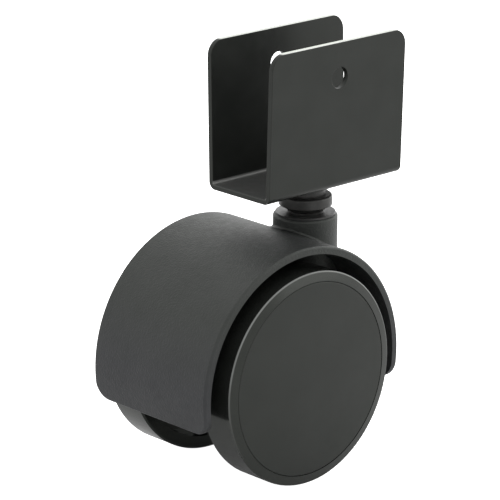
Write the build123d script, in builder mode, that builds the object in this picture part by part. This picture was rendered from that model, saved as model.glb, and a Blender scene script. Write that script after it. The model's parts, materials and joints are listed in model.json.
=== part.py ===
"""Twin-wheel furniture caster with a swivel stem and a U-shaped clamp bracket.

The frame: millimetres, +Z up. The origin is on the swivel axis, at the channel floor
of the bracket, where the bottom edge of the board or chair leg rests. The wheels turn
about an axle along Y, which trails behind the swivel axis towards -X.
"""
import os
from math import cos, hypot, radians, sqrt, tan

from build123d import *

# ---- driving dimensions -------------------------------------------------------------
floor_height = 64.9          # ground to the channel floor
trail = 18.1                 # swivel axis to axle
wheel_radius = 25.0

# bracket
sheet = 1.25
channel_length = 42.1
channel_outer_width = 19.8   # across the cheeks, at the web
cheek_rise = 33.3            # channel floor to the top of the cheeks
cheek_splay = 1.4            # degrees, each cheek leans outwards
bend_inner_radius = 0.6
cheek_corner_radius = 3.8
bolt_hole_radius = 2.5
bolt_hole_height = 25.0      # above the channel floor
bolt_hole_offset = 0.0       # from the swivel axis, along the channel
dimple_depth = 1.0           # pressed pocket in the web for the riveted end of the stem
dimple_top_radius = 6.0      # inside of the pocket at the channel floor
dimple_floor_radius = 5.4    # inside of the pocket at its floor
dimple_wall = 0.88           # the pressed wall is thinner than the sheet

# swivel stem
stem_radius = 4.0
stem_dome_height = 1.2
collar_radius = 6.2
collar_top = -4.3
collar_bottom = -6.7
collar_round = 0.5
cone_top_radius = 5.9
cone_bottom = -8.2
neck_radius = 4.6
spigot_radius = 3.5
rivet_head_radius = 5.0
rivet_head_height = 0.85
stem_bottom = -36.4
snap_groove_depth = 0.6
snap_groove_height = 1.2
snap_groove_z = -33.6        # middle of the groove
snap_ring_outer_radius = 4.65
snap_ring_inner_radius = 3.45
snap_ring_thickness = 1.0
snap_ring_slit = 1.6

# housing
hood_radius = 30.4
hood_wall = 1.8
hood_half_width = 18.6
hood_drop = 0.25             # centre of the hood arch below the axle
hood_cut_height = 17.55      # level lower edge of the hood above the ground
hood_corner_radius = 4.0
hood_rim_round = 0.6
plate_thickness = 3.0
boss_radius = 7.5
boss_top = -8.85
boss_top_round = 0.7
boss_fillet = 0.6
column_floor_thickness = 3.0  # under the thrust disc
hub_radius = 7.4
hub_half_length = 10.3
rib_thickness = 2.0
rib_depth = 5.0              # how far the ribs stand off the centre plate
rib_angles = (90, 135)       # degrees about the axle, up and to the rear

# stem bush
bush_outer_radius = 5.4
bush_bore_radius = 4.05
bush_bottom = -32.4
bush_flange_radius = 7.0
bush_flange_height = 0.4

# thrust disc under the stem
thrust_disc_radius = 5.0
thrust_disc_height = 1.0
thrust_gap = 0.05

# axle and its fastening
axle_radius = 3.0
axle_half_length = 19.0
axle_end_chamfer = 0.5
washer_radius = 6.0
washer_bore_radius = 3.1
washer_thickness = 0.8
push_nut_radius = 5.0
push_nut_thickness = 0.5
push_nut_dish = 0.5
push_nut_slot_width = 0.7
push_nut_slot_depth = 1.1
push_nut_gap = 0.3

# wheels
wheel_inner_y = 11.45
wheel_outer_y = 21.05
wheel_bevel_width = 2.2      # shallow cone around the outer face
wheel_bevel_depth = 0.55
wheel_corner_round = 0.25    # between the tread and the cone
tread_inner_round = 0.4
rim_thickness = 3.0
wheel_web_inner_y = 14.9
wheel_web_outer_y = 17.4
wheel_hub_radius = 6.6
wheel_hub_inner_y = 11.4
wheel_bore_radius = 3.06
wheel_rib_count = 8
wheel_rib_thickness = 1.4
wheel_rib_inner_y = 12.8
cover_radius = 22.6
cover_gap = 0.08
cover_thickness = 1.4        # at the edge
cover_dome = 0.9             # rise of the outer face to its middle
cover_edge_round = 0.25
cover_skirt_thickness = 1.0
cover_skirt_radius = 20.9
cover_skirt_depth = 1.4

# ---- places worked out from the dimensions above --------------------------------------
web_bottom = -sheet
axle_x = -trail
axle_z = wheel_radius - floor_height
hood_z = axle_z - hood_drop
hood_cut_z = hood_cut_height - floor_height
hood_inner_radius = hood_radius - hood_wall
socket_floor = stem_bottom - thrust_gap - thrust_disc_height
column_bottom = socket_floor - column_floor_thickness
axle_plane = Plane(origin=(axle_x, 0, axle_z), x_dir=(1, 0, 0), z_dir=(0, -1, 0))
hood_plane = Plane(origin=(axle_x, 0, hood_z), x_dir=(1, 0, 0), z_dir=(0, -1, 0))

os.makedirs("parts", exist_ok=True)


def write_part(part, label):
    """Label a finished piece and write it to its own STEP file."""
    part.label = label
    export_step(part, f"parts/{label}.step")


# ---- U bracket: folded sheet channel ----------------------------------------------------
lean = tan(radians(cheek_splay))
half_width = channel_outer_width / 2
cheek_top_y = half_width + (cheek_rise + sheet) * lean
inner_half_width = half_width - sheet / cos(radians(cheek_splay))
inner_top_y = cheek_top_y - sheet / cos(radians(cheek_splay))
dimple_bottom = web_bottom - dimple_depth

with BuildPart() as u_bracket:
    with BuildSketch(Plane.YZ):
        with BuildLine():
            Polyline(
                (-cheek_top_y, cheek_rise),
                (-half_width, web_bottom),
                (half_width, web_bottom),
                (cheek_top_y, cheek_rise),
                (inner_top_y, cheek_rise),
                (inner_half_width + sheet * lean, 0),
                (-inner_half_width - sheet * lean, 0),
                (-inner_top_y, cheek_rise),
                close=True,
            )
        make_face()
    extrude(amount=channel_length / 2, both=True)
    lower_edges = u_bracket.edges().filter_by(Axis.X).filter_by(lambda e: e.center().Z < cheek_rise / 2)
    inner_bends = lower_edges.filter_by(lambda e: e.center().Z > web_bottom / 2)
    outer_bends = lower_edges.filter_by(lambda e: e.center().Z < web_bottom / 2)
    fillet(inner_bends, bend_inner_radius)
    fillet(outer_bends, bend_inner_radius + sheet)
    top_corners = u_bracket.edges().filter_by(
        lambda e: e.length < 2 * sheet
        and abs(abs(e.center().X) - channel_length / 2) < sheet / 2
        and e.center().Z > cheek_rise - sheet / 2
    )
    fillet(top_corners, cheek_corner_radius)
    with BuildSketch(Plane.XZ):
        with Locations((bolt_hole_offset, bolt_hole_height)):
            Circle(bolt_hole_radius)
    extrude(amount=channel_outer_width, both=True, mode=Mode.SUBTRACT)
    # pocket pressed down into the web, and the hole for the stem's spigot
    with BuildSketch(Plane.XZ):
        with BuildLine():
            Polyline(
                (0, web_bottom),
                (dimple_top_radius + dimple_wall, web_bottom),
                (dimple_floor_radius + dimple_wall, dimple_bottom),
                (0, dimple_bottom),
                close=True,
            )
        make_face()
    revolve(axis=Axis.Z)
    with BuildSketch(Plane.XZ):
        with BuildLine():
            Polyline(
                (0, 0),
                (dimple_top_radius, 0),
                (dimple_floor_radius, -dimple_depth),
                (spigot_radius, -dimple_depth),
                (spigot_radius, dimple_bottom),
                (0, dimple_bottom),
                close=True,
            )
        make_face()
    revolve(axis=Axis.Z, mode=Mode.SUBTRACT)
write_part(u_bracket.part, "u_bracket")

# ---- swivel stem: turned steel, round collar, riveted through the web ----------------------
groove_top = snap_groove_z + snap_groove_height / 2
groove_bottom = snap_groove_z - snap_groove_height / 2
head_top = rivet_head_height - dimple_depth


def cap_drop(radius, height):
    """How far a spherical cap has dropped from its crown at half its radius."""
    sphere = (radius**2 + height**2) / (2 * height)
    return sphere - sqrt(sphere**2 - (radius / 2) ** 2)


with BuildPart() as swivel_stem:
    with BuildSketch(Plane.XZ):
        with BuildLine():
            Polyline(
                (0, -dimple_depth),
                (spigot_radius, -dimple_depth),
                (spigot_radius, dimple_bottom),
                (neck_radius, dimple_bottom),
                (neck_radius, collar_top),
                (collar_radius, collar_top),
                (collar_radius, collar_bottom),
                (cone_top_radius, collar_bottom),
                (stem_radius, cone_bottom),
                (stem_radius, groove_top),
                (stem_radius - snap_groove_depth, groove_top),
                (stem_radius - snap_groove_depth, groove_bottom),
                (stem_radius, groove_bottom),
                (stem_radius, stem_bottom + stem_dome_height),
            )
            ThreePointArc(
                (stem_radius, stem_bottom + stem_dome_height),
                (stem_radius / 2, stem_bottom + cap_drop(stem_radius, stem_dome_height)),
                (0, stem_bottom),
            )
            Line((0, stem_bottom), (0, -dimple_depth))
        make_face()
    revolve(axis=Axis.Z)
    collar_rims = swivel_stem.edges().filter_by(GeomType.CIRCLE).filter_by(
        lambda e: abs(e.radius - collar_radius) < collar_round / 2
    )
    fillet(collar_rims.sort_by(Axis.Z)[-1], collar_round)
    with BuildSketch(Plane.XZ):
        with BuildLine():
            Line((0, -dimple_depth), (rivet_head_radius, -dimple_depth))
            ThreePointArc(
                (rivet_head_radius, -dimple_depth),
                (rivet_head_radius / 2, head_top - cap_drop(rivet_head_radius, rivet_head_height)),
                (0, head_top),
            )
            Line((0, head_top), (0, -dimple_depth))
        make_face()
    revolve(axis=Axis.Z)
write_part(swivel_stem.part, "swivel_stem")

# ---- snap ring: split ring in the groove of the stem ---------------------------------------
with BuildPart() as stem_snap_ring:
    with BuildSketch(Plane.XY.offset(snap_groove_z)):
        Circle(snap_ring_outer_radius)
        Circle(snap_ring_inner_radius, mode=Mode.SUBTRACT)
        with Locations((stem_radius, 0)):
            Rectangle(2 * stem_radius, snap_ring_slit, mode=Mode.SUBTRACT)
    extrude(amount=snap_ring_thickness / 2, both=True)
write_part(stem_snap_ring.part, "stem_snap_ring")


# ---- housing: hood, centre plate, swivel column and axle hub in one moulding ----------------
def radius_about_axle_line(point, line_z):
    """Distance of a point from the line along Y through (axle_x, line_z)."""
    return hypot(point.X - axle_x, point.Z - line_z)


def is_boss_root(edge):
    """True on the curve where the boss leaves the outside of the hood."""
    point = edge @ 0.3
    on_hood = abs(radius_about_axle_line(point, hood_z) - hood_radius) < 0.01
    on_boss = abs(hypot(point.X, point.Y) - boss_radius) < 0.01
    return on_hood and on_boss


def is_hood_rim(edge):
    """True on the outer edge of the hood arch, at either side."""
    point = edge @ 0.5
    on_side = abs(abs(point.Y) - hood_half_width) < 0.01
    return on_side and abs(radius_about_axle_line(point, hood_z) - hood_radius) < 0.01


def is_hood_corner(edge):
    """True on the four short edges across the wall at the ends of the arch."""
    point = edge.center()
    return abs(point.Z - hood_cut_z) < 0.05 and abs(abs(point.Y) - hood_half_width) < 0.05


cut_depth = hood_z - hood_cut_z

with BuildPart() as housing:
    # hood arch, cut off level at its lower edge
    with BuildSketch(hood_plane):
        Circle(hood_radius)
        Circle(hood_inner_radius, mode=Mode.SUBTRACT)
        with Locations((0, -cut_depth)):
            Rectangle(3 * hood_radius, 2 * hood_radius, align=(Align.CENTER, Align.MAX), mode=Mode.SUBTRACT)
    extrude(amount=hood_half_width, both=True)
    fillet(housing.edges().filter_by(is_hood_corner), hood_corner_radius)
    fillet(housing.edges().filter_by(is_hood_rim), hood_rim_round)
    # column that holds the stem: its top is the boss
    with BuildSketch(Plane.XY.offset(column_bottom)):
        Circle(boss_radius)
    extrude(amount=boss_top - column_bottom)
    fillet(housing.edges().filter_by(is_boss_root), boss_fillet)
    fillet(housing.faces().sort_by(Axis.Z)[-1].edges(), boss_top_round)
    # centre plate between the wheels
    with BuildSketch(hood_plane):
        Circle(hood_inner_radius + hood_wall / 2)
        with Locations((0, -cut_depth)):
            Rectangle(3 * hood_radius, 2 * hood_radius, align=(Align.CENTER, Align.MAX), mode=Mode.SUBTRACT)
    extrude(amount=plate_thickness / 2, both=True)
    # axle hub and the ribs that brace it against the hood
    with BuildSketch(axle_plane):
        Circle(hub_radius)
    extrude(amount=hub_half_length, both=True)
    with BuildSketch(axle_plane):
        for angle in rib_angles:
            with Locations(Location((0, 0), angle)):
                Rectangle(hood_inner_radius - hood_drop, rib_thickness, align=(Align.MIN, Align.CENTER))
    extrude(amount=plate_thickness / 2 + rib_depth, both=True)
    # stem socket: bush bore, then a narrower chamber over the thrust disc
    with BuildSketch(Plane.XY.offset(boss_top)):
        Circle(bush_outer_radius)
    extrude(amount=bush_bottom - boss_top, mode=Mode.SUBTRACT)
    with BuildSketch(Plane.XY.offset(bush_bottom)):
        Circle(thrust_disc_radius)
    extrude(amount=socket_floor - bush_bottom, mode=Mode.SUBTRACT)
    # axle bore
    with BuildSketch(axle_plane):
        Circle(axle_radius)
    extrude(amount=hub_half_length, both=True, mode=Mode.SUBTRACT)
write_part(housing.part, "housing")

# ---- stem bush: flanged sleeve pressed into the boss ------------------------------------------
with BuildPart() as stem_bush:
    with BuildSketch(Plane.XY.offset(bush_bottom)):
        Circle(bush_outer_radius)
    extrude(amount=boss_top - bush_bottom)
    with BuildSketch(Plane.XY.offset(boss_top)):
        Circle(bush_flange_radius)
    extrude(amount=bush_flange_height)
    chamfer(stem_bush.edges().group_by(Axis.Z)[-1], bush_flange_height / 4)
    with BuildSketch(Plane.XY.offset(bush_bottom)):
        Circle(bush_bore_radius)
    extrude(amount=boss_top + bush_flange_height - bush_bottom, mode=Mode.SUBTRACT)
write_part(stem_bush.part, "stem_bush")

# ---- thrust disc: carries the load from the stem's domed tip ------------------------------------
with BuildPart() as thrust_disc:
    with BuildSketch(Plane.XY.offset(socket_floor)):
        Circle(thrust_disc_radius)
    extrude(amount=thrust_disc_height)
write_part(thrust_disc.part, "thrust_disc")

# ---- axle pin ---------------------------------------------------------------------------------
with BuildPart() as axle:
    with BuildSketch(axle_plane):
        Circle(axle_radius)
    extrude(amount=axle_half_length, both=True)
    chamfer(axle.edges().filter_by(GeomType.CIRCLE), axle_end_chamfer)
write_part(axle.part, "axle")


# ---- the pieces that repeat on both sides of the housing -----------------------------------------
def side_plane(direction, distance):
    """Plane across the axle, facing outwards, at a distance from the middle of the caster."""
    return Plane(origin=(axle_x, direction * distance, axle_z), x_dir=(1, 0, 0), z_dir=(0, direction, 0))


def turning_plane(direction):
    """Plane for a profile turned about the axle: local X runs outwards, local Y is the radius."""
    return Plane(origin=(axle_x, 0, axle_z), x_dir=(0, direction, 0), z_dir=(1, 0, 0))


def build_wheel(direction):
    """Moulded wheel: tread rim, web, hub and inner ribs, with a seat for the cover disc."""
    rim_inner_radius = wheel_radius - rim_thickness
    cover_seat_y = wheel_outer_y - cover_thickness
    tread_end_y = wheel_outer_y - wheel_bevel_depth
    with BuildPart() as wheel:
        with BuildSketch(turning_plane(direction)) as profile:
            with BuildLine():
                Polyline(
                    (wheel_inner_y + tread_inner_round, wheel_radius),
                    (tread_end_y, wheel_radius),
                    (wheel_outer_y, wheel_radius - wheel_bevel_width),
                    (wheel_outer_y, cover_radius + cover_gap),
                    (cover_seat_y, cover_radius + cover_gap),
                    (cover_seat_y, rim_inner_radius),
                    (wheel_web_outer_y, rim_inner_radius),
                    (wheel_web_outer_y, wheel_bore_radius),
                    (wheel_hub_inner_y, wheel_bore_radius),
                    (wheel_hub_inner_y, wheel_hub_radius),
                    (wheel_web_inner_y, wheel_hub_radius),
                    (wheel_web_inner_y, rim_inner_radius),
                    (wheel_inner_y, rim_inner_radius),
                    (wheel_inner_y, wheel_radius - tread_inner_round),
                    (wheel_inner_y + tread_inner_round, wheel_radius),
                )
            make_face()
            outer_corner = profile.vertices().sort_by_distance((tread_end_y, wheel_radius))[0]
            fillet(outer_corner, wheel_corner_round)
        revolve(axis=Axis((axle_x, 0, axle_z), (0, 1, 0)))
        rib_length = rim_inner_radius - wheel_hub_radius
        with BuildSketch(side_plane(direction, wheel_rib_inner_y)):
            with PolarLocations(wheel_hub_radius + rib_length / 2, wheel_rib_count):
                Rectangle(rib_length + wheel_rib_thickness, wheel_rib_thickness)
        extrude(amount=wheel_web_outer_y - wheel_rib_inner_y)
    return wheel.part


def build_cover(direction):
    """Domed cover disc that snaps into the outer face of the wheel and hides the push nut."""
    seat_y = wheel_outer_y - cover_thickness
    crown_y = wheel_outer_y + cover_dome
    dome_radius = (cover_radius**2 + cover_dome**2) / (2 * cover_dome)
    halfway_drop = dome_radius - sqrt(dome_radius**2 - cover_radius**2 / 4)
    with BuildPart() as cover:
        with BuildSketch(turning_plane(direction)) as profile:
            with BuildLine():
                ThreePointArc(
                    (crown_y, 0),
                    (crown_y - halfway_drop, cover_radius / 2),
                    (wheel_outer_y, cover_radius),
                )
                Polyline(
                    (wheel_outer_y, cover_radius),
                    (seat_y, cover_radius),
                    (seat_y, 0),
                    (crown_y, 0),
                )
            make_face()
            outer_corner = profile.vertices().sort_by_distance((wheel_outer_y, cover_radius))[0]
            fillet(outer_corner, cover_edge_round)
        revolve(axis=Axis((axle_x, 0, axle_z), (0, 1, 0)))
        with BuildSketch(side_plane(direction, seat_y)):
            Circle(cover_skirt_radius + cover_skirt_thickness)
            Circle(cover_skirt_radius, mode=Mode.SUBTRACT)
        extrude(amount=-cover_skirt_depth)
    return cover.part


def build_axle_washer(direction):
    """Plain washer between the housing hub and the wheel hub."""
    with BuildPart() as washer:
        with BuildSketch(side_plane(direction, hub_half_length)):
            Circle(washer_radius)
            Circle(washer_bore_radius, mode=Mode.SUBTRACT)
        extrude(amount=washer_thickness)
    return washer.part


def build_push_nut(direction):
    """Dished spring-steel push nut that grips the end of the axle with four tangs."""
    inner_face = wheel_web_outer_y + push_nut_gap
    tang_root = axle_radius + push_nut_slot_depth
    with BuildPart() as push_nut:
        with BuildSketch(turning_plane(direction)):
            with BuildLine():
                Polyline(
                    (inner_face, push_nut_radius),
                    (inner_face, tang_root),
                    (inner_face + push_nut_dish, axle_radius),
                    (inner_face + push_nut_dish + push_nut_thickness, axle_radius),
                    (inner_face + push_nut_thickness, tang_root),
                    (inner_face + push_nut_thickness, push_nut_radius),
                    close=True,
                )
            make_face()
        revolve(axis=Axis((axle_x, 0, axle_z), (0, 1, 0)))
        with BuildSketch(side_plane(direction, inner_face)):
            with PolarLocations(tang_root / 2, 4):
                Rectangle(tang_root, push_nut_slot_width)
        extrude(amount=push_nut_dish + push_nut_thickness, mode=Mode.SUBTRACT)
    return push_nut.part


for side, direction in (("near", -1), ("far", 1)):
    write_part(build_wheel(direction), f"{side}_wheel")
    write_part(build_cover(direction), f"{side}_wheel_cover")
    write_part(build_axle_washer(direction), f"{side}_axle_washer")
    write_part(build_push_nut(direction), f"{side}_push_nut")
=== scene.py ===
"""Looks of the twin-wheel furniture caster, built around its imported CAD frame.

Metres, in the frame of the CAD model: +Z up, the origin on the swivel axis at the channel
floor of the bracket, the axle along Y.
"""
import json
import math

import bmesh
import bpy
from mathutils import Matrix, Vector

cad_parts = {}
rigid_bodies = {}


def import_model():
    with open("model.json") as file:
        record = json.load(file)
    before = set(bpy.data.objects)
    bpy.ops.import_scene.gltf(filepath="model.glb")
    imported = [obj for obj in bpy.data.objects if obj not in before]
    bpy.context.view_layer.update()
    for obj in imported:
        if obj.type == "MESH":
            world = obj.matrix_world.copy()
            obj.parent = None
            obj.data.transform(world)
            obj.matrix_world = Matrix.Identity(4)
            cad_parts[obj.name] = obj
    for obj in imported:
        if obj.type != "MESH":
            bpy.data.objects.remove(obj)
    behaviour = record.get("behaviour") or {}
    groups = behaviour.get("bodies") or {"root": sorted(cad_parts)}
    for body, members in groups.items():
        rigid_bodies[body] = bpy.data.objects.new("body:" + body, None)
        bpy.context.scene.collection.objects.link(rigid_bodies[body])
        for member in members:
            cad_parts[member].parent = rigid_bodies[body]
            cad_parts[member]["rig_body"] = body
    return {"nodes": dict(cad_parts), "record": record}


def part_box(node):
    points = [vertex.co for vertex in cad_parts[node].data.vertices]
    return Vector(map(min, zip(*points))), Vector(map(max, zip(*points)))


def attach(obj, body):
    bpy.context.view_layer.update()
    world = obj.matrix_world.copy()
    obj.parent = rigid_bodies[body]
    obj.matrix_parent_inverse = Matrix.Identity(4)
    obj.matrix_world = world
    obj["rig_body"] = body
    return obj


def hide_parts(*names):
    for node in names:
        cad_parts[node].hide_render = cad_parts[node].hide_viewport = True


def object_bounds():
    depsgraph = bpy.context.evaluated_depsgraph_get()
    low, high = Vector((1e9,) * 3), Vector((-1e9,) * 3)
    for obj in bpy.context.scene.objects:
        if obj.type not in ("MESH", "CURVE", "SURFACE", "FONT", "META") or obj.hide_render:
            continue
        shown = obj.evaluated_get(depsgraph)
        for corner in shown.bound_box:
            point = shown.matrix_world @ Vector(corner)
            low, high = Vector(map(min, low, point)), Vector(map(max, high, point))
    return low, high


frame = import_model()
cad_low, cad_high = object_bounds()
nodes = frame["nodes"]
slots = {part["node"]: part["material_slot"] for part in frame["record"]["subparts"]}
scene = bpy.context.scene
MM = 0.001
MERGE_DISTANCE = 0.002 * MM


# ---- camera ----------------------------------------------------------------------------------
def make_camera(azimuth, elevation, roll, distance, target, lens):
    """Camera at an azimuth and elevation about a target point; angles in degrees."""
    azimuth, elevation, roll = (math.radians(angle) for angle in (azimuth, elevation, roll))
    level = math.cos(elevation)
    back = Vector((math.sin(azimuth) * level, -math.cos(azimuth) * level, math.sin(elevation)))
    level_right = (-back).cross(Vector((0, 0, 1))).normalized()
    level_up = back.cross(level_right)
    right = level_right * math.cos(roll) + level_up * math.sin(roll)
    up = level_up * math.cos(roll) - level_right * math.sin(roll)
    data = bpy.data.cameras.new("camera")
    data.sensor_width = 36
    data.lens = lens
    data.clip_start = 0.01
    data.clip_end = 20
    camera = bpy.data.objects.new("camera", data)
    rotation = Matrix((right, up, back)).transposed()
    camera.matrix_world = Matrix.Translation(target + back * distance) @ rotation.to_4x4()
    scene.collection.objects.link(camera)
    scene.camera = camera


make_camera(
    azimuth=-43.5,
    elevation=17.22,
    roll=0.39,
    distance=0.7142,
    target=Vector((-17.5, 0, -14.38)) * MM,
    lens=226.1,
)


# ---- node helpers ----------------------------------------------------------------------------
MIX_FACTOR, MIX_FIRST, MIX_SECOND = 0, 6, 7  # inputs of a mix node that mixes colours
MIX_RESULT = 2  # its output


class Shader:
    """A node material being built up, with short calls for the nodes it needs."""

    def __init__(self, name, **inputs):
        self.material = bpy.data.materials.new(name)
        self.material.use_nodes = True
        self.tree = self.material.node_tree
        self.surface = self.tree.nodes["Principled BSDF"]
        self.place = self.add("ShaderNodeTexCoord").outputs["Object"]
        for label, value in inputs.items():
            self.surface.inputs[label.replace("_", " ")].default_value = value

    def add(self, kind, **settings):
        node = self.tree.nodes.new(kind)
        for key, value in settings.items():
            setattr(node, key, value)
        return node

    def link(self, source, node, socket):
        self.tree.links.new(source, node.inputs[socket])

    def noise(self, size, detail=3.0, roughness=0.55, stretch=(1, 1, 1)):
        """Noise whose features are about `size` metres across."""
        mapping = self.add("ShaderNodeMapping")
        mapping.inputs["Scale"].default_value = [s / size for s in stretch]
        self.link(self.place, mapping, "Vector")
        noise = self.add("ShaderNodeTexNoise")
        noise.inputs["Scale"].default_value = 1.0
        noise.inputs["Detail"].default_value = detail
        noise.inputs["Roughness"].default_value = roughness
        self.link(mapping.outputs["Vector"], noise, "Vector")
        return noise.outputs["Fac"]

    def spread(self, source, low, high, start=0.3, end=0.7):
        """Map a 0..1 value to low..high, with start..end of it stretched over the range."""
        ranged = self.add("ShaderNodeMapRange")
        ranged.inputs["From Min"].default_value = start
        ranged.inputs["From Max"].default_value = end
        ranged.inputs["To Min"].default_value = low
        ranged.inputs["To Max"].default_value = high
        self.link(source, ranged, "Value")
        return ranged.outputs["Result"]

    def colours(self, source, *stops):
        """Colour ramp with (position, colour) stops."""
        ramp = self.add("ShaderNodeValToRGB")
        elements = ramp.color_ramp.elements
        while len(elements) < len(stops):
            elements.new(1.0)
        for element, (position, colour) in zip(elements, stops):
            element.position = position
            element.color = (*colour, 1)
        self.link(source, ramp, "Fac")
        return ramp.outputs["Color"]

    def split(self):
        """X, Y and Z of the place on the object, in metres."""
        split = self.add("ShaderNodeSeparateXYZ")
        self.link(self.place, split, "Vector")
        return split.outputs["X"], split.outputs["Y"], split.outputs["Z"]

    def math(self, operation, *values):
        """A maths node on sockets or plain numbers."""
        node = self.add("ShaderNodeMath", operation=operation)
        for socket, value in zip(node.inputs, values):
            if isinstance(value, (int, float)):
                socket.default_value = value
            else:
                self.tree.links.new(value, socket)
        return node.outputs["Value"]

    def band(self, value, start, end, blend):
        """1 where a value lies from start to end, with soft steps `blend` wide, and 0 elsewhere."""
        rising = self.spread(value, 0, 1, start - blend / 2, start + blend / 2)
        falling = self.spread(value, 1, 0, end - blend / 2, end + blend / 2)
        return self.math("MULTIPLY", rising, falling)

    def mix(self, factor, first, second):
        """The linked colour where the factor is 0 and a fixed colour where it is 1."""
        mix = self.add("ShaderNodeMix", data_type="RGBA")
        self.link(factor, mix, MIX_FACTOR)
        self.link(first, mix, MIX_FIRST)
        mix.inputs[MIX_SECOND].default_value = (*second, 1)
        return mix.outputs[MIX_RESULT]

    def bump(self, source, height, strength=1.0, under=None):
        """Bump of `height` metres, laid over another bump's normal if one is given."""
        bump = self.add("ShaderNodeBump")
        bump.inputs["Strength"].default_value = strength
        bump.inputs["Distance"].default_value = height
        self.link(source, bump, "Height")
        if under is not None:
            self.link(under, bump, "Normal")
        return bump.outputs["Normal"]

    def finish(self, colour=None, roughness=None, normal=None):
        if colour is not None:
            self.link(colour, self.surface, "Base Color")
        if roughness is not None:
            self.link(roughness, self.surface, "Roughness")
        if normal is not None:
            self.link(normal, self.surface, "Normal")
        return self.material


# ---- materials -------------------------------------------------------------------------------
GREENISH = (0.95, 1.0, 0.92)
BLUISH = (0.95, 0.95, 1.0)
AXLE = sum(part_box("axle"), Vector()) / 2
WHEEL_RADIUS = AXLE.z - cad_low.z
BEYOND = 1.0  # metres, past the whole caster: a band that ends here is open on that side


def coated_steel():
    """Satin black electro-coated sheet, with painted light on the channel floor, a painted highlight along
    its inner bends and a painted highlight along its top.
    """
    channel_half_width = 8.75 * MM
    floor_low, floor_high = -0.3 * MM, 0.12 * MM
    bend_low, bend_high = 0.08 * MM, 0.7 * MM
    top_edge = cad_high.z - 0.1 * MM
    s = Shader("coated_steel", IOR=1.37, Specular_Tint=(*GREENISH, 1))
    cloud = s.noise(9 * MM, 2)
    peel = s.noise(0.55 * MM, 2)
    coat = s.colours(cloud, (0.3, (0.008, 0.009, 0.008)), (0.7, (0.012, 0.013, 0.012)))
    _, y, z = s.split()
    in_channel = s.band(s.math("ABSOLUTE", y), -BEYOND, channel_half_width, 0.2 * MM)
    floor = s.math("MULTIPLY", in_channel, s.band(z, floor_low, floor_high, 0.1 * MM))
    bend = s.math("MULTIPLY", in_channel, s.band(z, bend_low, bend_high, 0.2 * MM))
    # Painted light: the channel floor is made lighter where the top light falls into it, and the inner
    # bends carry a painted highlight line.
    painted_light = s.mix(floor, coat, (0.035, 0.036, 0.035))
    painted_light = s.mix(bend, painted_light, (0.17, 0.17, 0.165))
    # Painted highlight: the top faces of the cheeks are made bright and metallic so that they catch the
    # light behind as a white line.
    top_highlight = s.band(z, top_edge, BEYOND, 0.1 * MM)
    colour = s.mix(top_highlight, painted_light, (0.50, 0.50, 0.49))
    s.link(top_highlight, s.surface, "Metallic")
    roughness = s.spread(s.noise(2.5 * MM, 4), 0.30, 0.38)
    return s.finish(colour, roughness, s.bump(peel, 0.004 * MM, 0.5))


def oxide_steel():
    """Black oxide on turned steel, with fine turning marks around the stem."""
    s = Shader("oxide_steel", Metallic=0.4, IOR=1.45)
    cloud = s.noise(3 * MM, 3)
    marks = s.noise(0.25 * MM, 2, stretch=(0.05, 0.05, 1))
    colour = s.colours(cloud, (0.3, (0.020, 0.020, 0.019)), (0.75, (0.045, 0.045, 0.043)))
    roughness = s.spread(s.noise(1.2 * MM, 4), 0.28, 0.42)
    return s.finish(colour, roughness, s.bump(marks, 0.006 * MM, 0.5))


def grained_nylon():
    """Black moulded nylon with a fine spark-eroded grain, slight flow clouds and a painted bluer tint on
    its reflections low down.
    """
    sheen_rise = 22 * MM
    s = Shader("grained_nylon", IOR=1.48)
    cloud = s.noise(12 * MM, 3)
    grain = s.noise(0.45 * MM, 2, 0.6)
    _, _, z = s.split()
    # Painted reflection tint: the specular tint goes from bluish low down to greenish higher up, set by
    # height alone.
    height = s.spread(z, 0, 1, AXLE.z, AXLE.z + sheen_rise)
    sheen = s.colours(height, (0.1, BLUISH), (0.8, GREENISH))
    s.link(sheen, s.surface, "Specular Tint")
    colour = s.colours(cloud, (0.3, (0.012, 0.013, 0.013)), (0.7, (0.018, 0.019, 0.019)))
    roughness = s.spread(s.noise(1.5 * MM, 4), 0.44, 0.54)
    return s.finish(colour, roughness, s.bump(grain, 0.12 * MM, 1.0))


def glossy_nylon():
    """Smooth polished black nylon of the wheels, with scuffs and a painted highlight along the upper part
    of the outer corner.
    """
    corner_inner_radius = WHEEL_RADIUS - 0.3 * MM
    corner_start = 20.32 * MM  # from the middle plane to where the tread rounds into the outer face
    fade_low, fade_high = AXLE.z - 16 * MM, AXLE.z + 20 * MM
    s = Shader("glossy_nylon", IOR=1.42, Specular_Tint=(*GREENISH, 1))
    cloud = s.noise(8 * MM, 2)
    scuff = s.noise(0.8 * MM, 4, stretch=(1, 0.2, 1))
    plain = s.colours(cloud, (0.3, (0.008, 0.009, 0.008)), (0.7, (0.012, 0.013, 0.012)))
    x, y, z = s.split()
    ahead = s.math("POWER", s.math("SUBTRACT", x, AXLE.x), 2.0)
    above = s.math("POWER", s.math("SUBTRACT", z, AXLE.z), 2.0)
    radius = s.math("SQRT", s.math("ADD", ahead, above))
    corner = s.band(radius, corner_inner_radius, BEYOND, 0.2 * MM)
    outside = s.band(s.math("ABSOLUTE", y), corner_start, BEYOND, 0.1 * MM)
    # Painted highlight: the outer corner of the tread is made lighter in patches, fading out towards the
    # bottom, where the light catches the round.
    patches = s.spread(s.noise(16 * MM, 2), 0.6, 1.0)
    upper = s.spread(z, 0, 1, fade_low, fade_high)
    outer_corner = s.math("MULTIPLY", corner, outside)
    painted_light = s.math("MULTIPLY", outer_corner, s.math("MULTIPLY", patches, upper))
    colour = s.mix(painted_light, plain, (0.20, 0.205, 0.20))
    roughness = s.spread(scuff, 0.16, 0.24)
    return s.finish(colour, roughness, s.bump(s.noise(1.5 * MM, 3), 0.003 * MM, 0.4))


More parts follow.
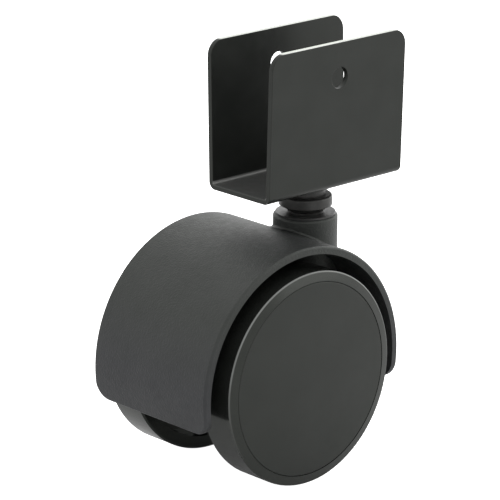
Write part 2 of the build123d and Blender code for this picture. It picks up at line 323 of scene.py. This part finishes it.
def satin_nylon():
    """Satin black cover discs: a very fine even texture."""
    s = Shader("satin_nylon", IOR=1.39, Specular_Tint=(*GREENISH, 1))
    cloud = s.noise(14 * MM, 2)
    fine = s.noise(0.3 * MM, 3)
    colour = s.colours(cloud, (0.3, (0.010, 0.011, 0.010)), (0.7, (0.014, 0.015, 0.014)))
    roughness = s.spread(s.noise(2 * MM, 4), 0.36, 0.44)
    return s.finish(colour, roughness, s.bump(fine, 0.006 * MM, 0.4))


def bearing_plastic():
    """Smooth black acetal of the stem bush."""
    s = Shader("bearing_plastic", IOR=1.48)
    cloud = s.noise(2 * MM, 2)
    colour = s.colours(cloud, (0.3, (0.020, 0.020, 0.020)), (0.7, (0.028, 0.028, 0.027)))
    roughness = s.spread(s.noise(0.8 * MM, 3), 0.30, 0.40)
    return s.finish(colour, roughness, s.bump(s.noise(0.4 * MM, 2), 0.004 * MM, 0.4))


def bright_steel():
    """Drawn bright steel of the axle, washers and thrust disc."""
    s = Shader("bright_steel", Metallic=1.0)
    cloud = s.noise(4 * MM, 3)
    lines = s.noise(0.2 * MM, 2, stretch=(1, 0.04, 1))
    colour = s.colours(cloud, (0.3, (0.42, 0.42, 0.41)), (0.7, (0.52, 0.52, 0.51)))
    roughness = s.spread(lines, 0.22, 0.36)
    return s.finish(colour, roughness, s.bump(lines, 0.004 * MM, 0.4))


def spring_steel():
    """Tempered spring steel with a straw-grey scale."""
    s = Shader("spring_steel", Metallic=1.0)
    cloud = s.noise(1.5 * MM, 4)
    colour = s.colours(cloud, (0.3, (0.16, 0.155, 0.15)), (0.7, (0.26, 0.25, 0.235)))
    roughness = s.spread(s.noise(0.5 * MM, 3), 0.30, 0.45)
    return s.finish(colour, roughness, s.bump(s.noise(0.3 * MM, 2), 0.004 * MM, 0.4))


def floor_paint():
    """Plain pale floor: lit for the object, and washed out to white where it is seen directly."""
    s = Shader("floor_paint", IOR=1.2, Emission_Color=(1, 1, 1, 1))
    colour = s.colours(s.noise(0.5, 2), (0.3, (0.76, 0.76, 0.76)), (0.7, (0.78, 0.78, 0.78)))
    s.link(s.add("ShaderNodeLightPath").outputs["Is Camera Ray"], s.surface, "Emission Strength")
    return s.finish(colour, s.spread(s.noise(0.1, 2), 0.90, 1.0))


materials = {
    "bracket_steel": coated_steel(),
    "stem_steel": oxide_steel(),
    "ring_steel": spring_steel(),
    "axle_steel": bright_steel(),
    "housing_nylon": grained_nylon(),
    "bush_plastic": bearing_plastic(),
    "wheel_nylon": glossy_nylon(),
    "cover_nylon": satin_nylon(),
}


def dress_nodes():
    """Give every CAD node the material of its record slot."""
    for name, slot in slots.items():
        nodes[name].data.materials.clear()
        nodes[name].data.materials.append(materials[slot])


dress_nodes()


# ---- finer shapes ----------------------------------------------------------------------------
BODY_ROUND = 0.15 * MM  # bracket and housing
WHEEL_ROUND = 0.06 * MM
COVER_ROUND = 0.05 * MM


def put_in_place(name, bm, edge_round, turned):
    """Make the mesh the visible piece of a CAD node, with its sharp edges broken by a small round."""
    mesh = bpy.data.meshes.new(name + "_rounded")
    bm.to_mesh(mesh)
    bm.free()
    mesh.shade_smooth()
    mesh.materials.append(nodes[name].data.materials[0])
    piece = bpy.data.objects.new(name + "_rounded", mesh)
    scene.collection.objects.link(piece)
    bevel = piece.modifiers.new("edge_round", "BEVEL")
    bevel.width = edge_round
    bevel.segments = 3
    bevel.limit_method = "ANGLE"
    bevel.angle_limit = math.radians(30)
    weighted = piece.modifiers.new("face_weight", "WEIGHTED_NORMAL")
    weighted.mode = "FACE_AREA_WITH_ANGLE" if turned else "FACE_AREA"
    weighted.weight = 50 if turned else 80
    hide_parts(name)
    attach(piece, nodes[name]["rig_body"])


def cleaned_copy(name, merge_flats):
    """The mesh of a CAD solid with its duplicate points, and perhaps its flat facets, merged."""
    bm = bmesh.new()
    bm.from_mesh(nodes[name].data)
    bmesh.ops.remove_doubles(bm, verts=bm.verts, dist=MERGE_DISTANCE)
    if merge_flats:
        bmesh.ops.dissolve_limit(bm, angle_limit=math.radians(0.3), verts=bm.verts, edges=bm.edges)
    return bm


def cover_section(radius):
    """Half section of a cover disc, as (radius, depth under the crown) from the crown to the back."""
    dome, corner, edge = 0.9 * MM, 0.25 * MM, 1.4 * MM
    skirt_inset, skirt_wall, skirt_depth = 0.7 * MM, 1.0 * MM, 1.4 * MM
    rings, corner_steps = 20, 5
    section = []
    for ring in range(rings + 1):
        reach = (radius - corner) * ring / rings
        section.append((reach, dome * (reach / radius) ** 2))
    corner_top = section[-1][1]
    for step in range(1, corner_steps + 1):
        angle = math.pi / 2 * step / corner_steps
        reach = radius - corner + corner * math.sin(angle)
        section.append((reach, corner_top + corner * (1 - math.cos(angle))))
    seat = dome + edge
    foot = seat + skirt_depth
    skirt_outer = radius - skirt_inset
    skirt_inner = skirt_outer - skirt_wall
    section += [(radius, seat), (skirt_outer, seat), (skirt_outer, foot)]
    section += [(skirt_inner, foot), (skirt_inner, seat), (0, seat)]
    return section


def turned_cover(name):
    """A domed cover disc with its snap skirt, turned about the axle to the size of the CAD solid."""
    turns = 160
    low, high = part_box(name)
    outward = math.copysign(1, high.y + low.y)
    crown = max(abs(low.y), abs(high.y))
    section = cover_section((high.z - low.z) / 2)
    bm = bmesh.new()
    points = [bm.verts.new((AXLE.x + r, outward * (crown - depth), AXLE.z)) for r, depth in section]
    edges = [bm.edges.new(pair) for pair in zip(points, points[1:])]
    bmesh.ops.spin(
        bm, geom=points + edges, cent=AXLE, axis=(0, 1, 0), angle=2 * math.pi, steps=turns, use_merge=True
    )
    bmesh.ops.remove_doubles(bm, verts=bm.verts, dist=MERGE_DISTANCE)
    bmesh.ops.recalc_face_normals(bm, faces=bm.faces)
    return bm


for name in ("u_bracket", "housing"):
    put_in_place(name, cleaned_copy(name, merge_flats=True), BODY_ROUND, turned=False)
for side in ("near", "far"):
    wheel, cover = side + "_wheel", side + "_wheel_cover"
    put_in_place(wheel, cleaned_copy(wheel, merge_flats=False), WHEEL_ROUND, turned=True)
    put_in_place(cover, turned_cover(cover), COVER_ROUND, turned=True)


# ---- studio ----------------------------------------------------------------------------------
LIGHT_TARGET = Vector((0, 0, -0.03))


def make_floor():
    """Large pale floor just under the wheels."""
    half = 6.0
    z = cad_low.z - 0.05 * MM
    mesh = bpy.data.meshes.new("studio_floor")
    corners = [(-half, -half, z), (half, -half, z), (half, half, z), (-half, half, z)]
    mesh.from_pydata(corners, [], [(0, 1, 2, 3)])
    mesh.materials.append(floor_paint())
    floor = bpy.data.objects.new("studio_floor", mesh)
    scene.collection.objects.link(floor)


def make_world(strength):
    """Even white surroundings."""
    world = bpy.data.worlds.new("studio")
    world.use_nodes = True
    background = world.node_tree.nodes["Background"]
    background.inputs["Color"].default_value = (1, 1, 1, 1)
    background.inputs["Strength"].default_value = strength
    scene.world = world


def make_area(name, place, size, power):
    """Square soft light that faces the caster."""
    data = bpy.data.lights.new(name, "AREA")
    data.shape = "SQUARE"
    data.size = size
    data.energy = power
    light = bpy.data.objects.new(name, data)
    light.location = place
    light.rotation_mode = "QUATERNION"
    light.rotation_quaternion = (Vector(place) - LIGHT_TARGET).to_track_quat("Z", "Y")
    scene.collection.objects.link(light)


make_floor()
make_world(strength=1.13)
make_area("back_light", (0.75, 0.75, 0.45), size=0.8, power=1.0)
make_area("top_light", (-0.2, 0.1, 0.9), size=0.8, power=1.0)
make_area("side_light", (0.75, -0.75, 0.3), size=0.7, power=1.6)
make_area("edge_light", (0.87, 0.1, 0.3), size=0.9, power=5)
scene.view_settings.view_transform = "Standard"
scene.view_settings.look = "None"
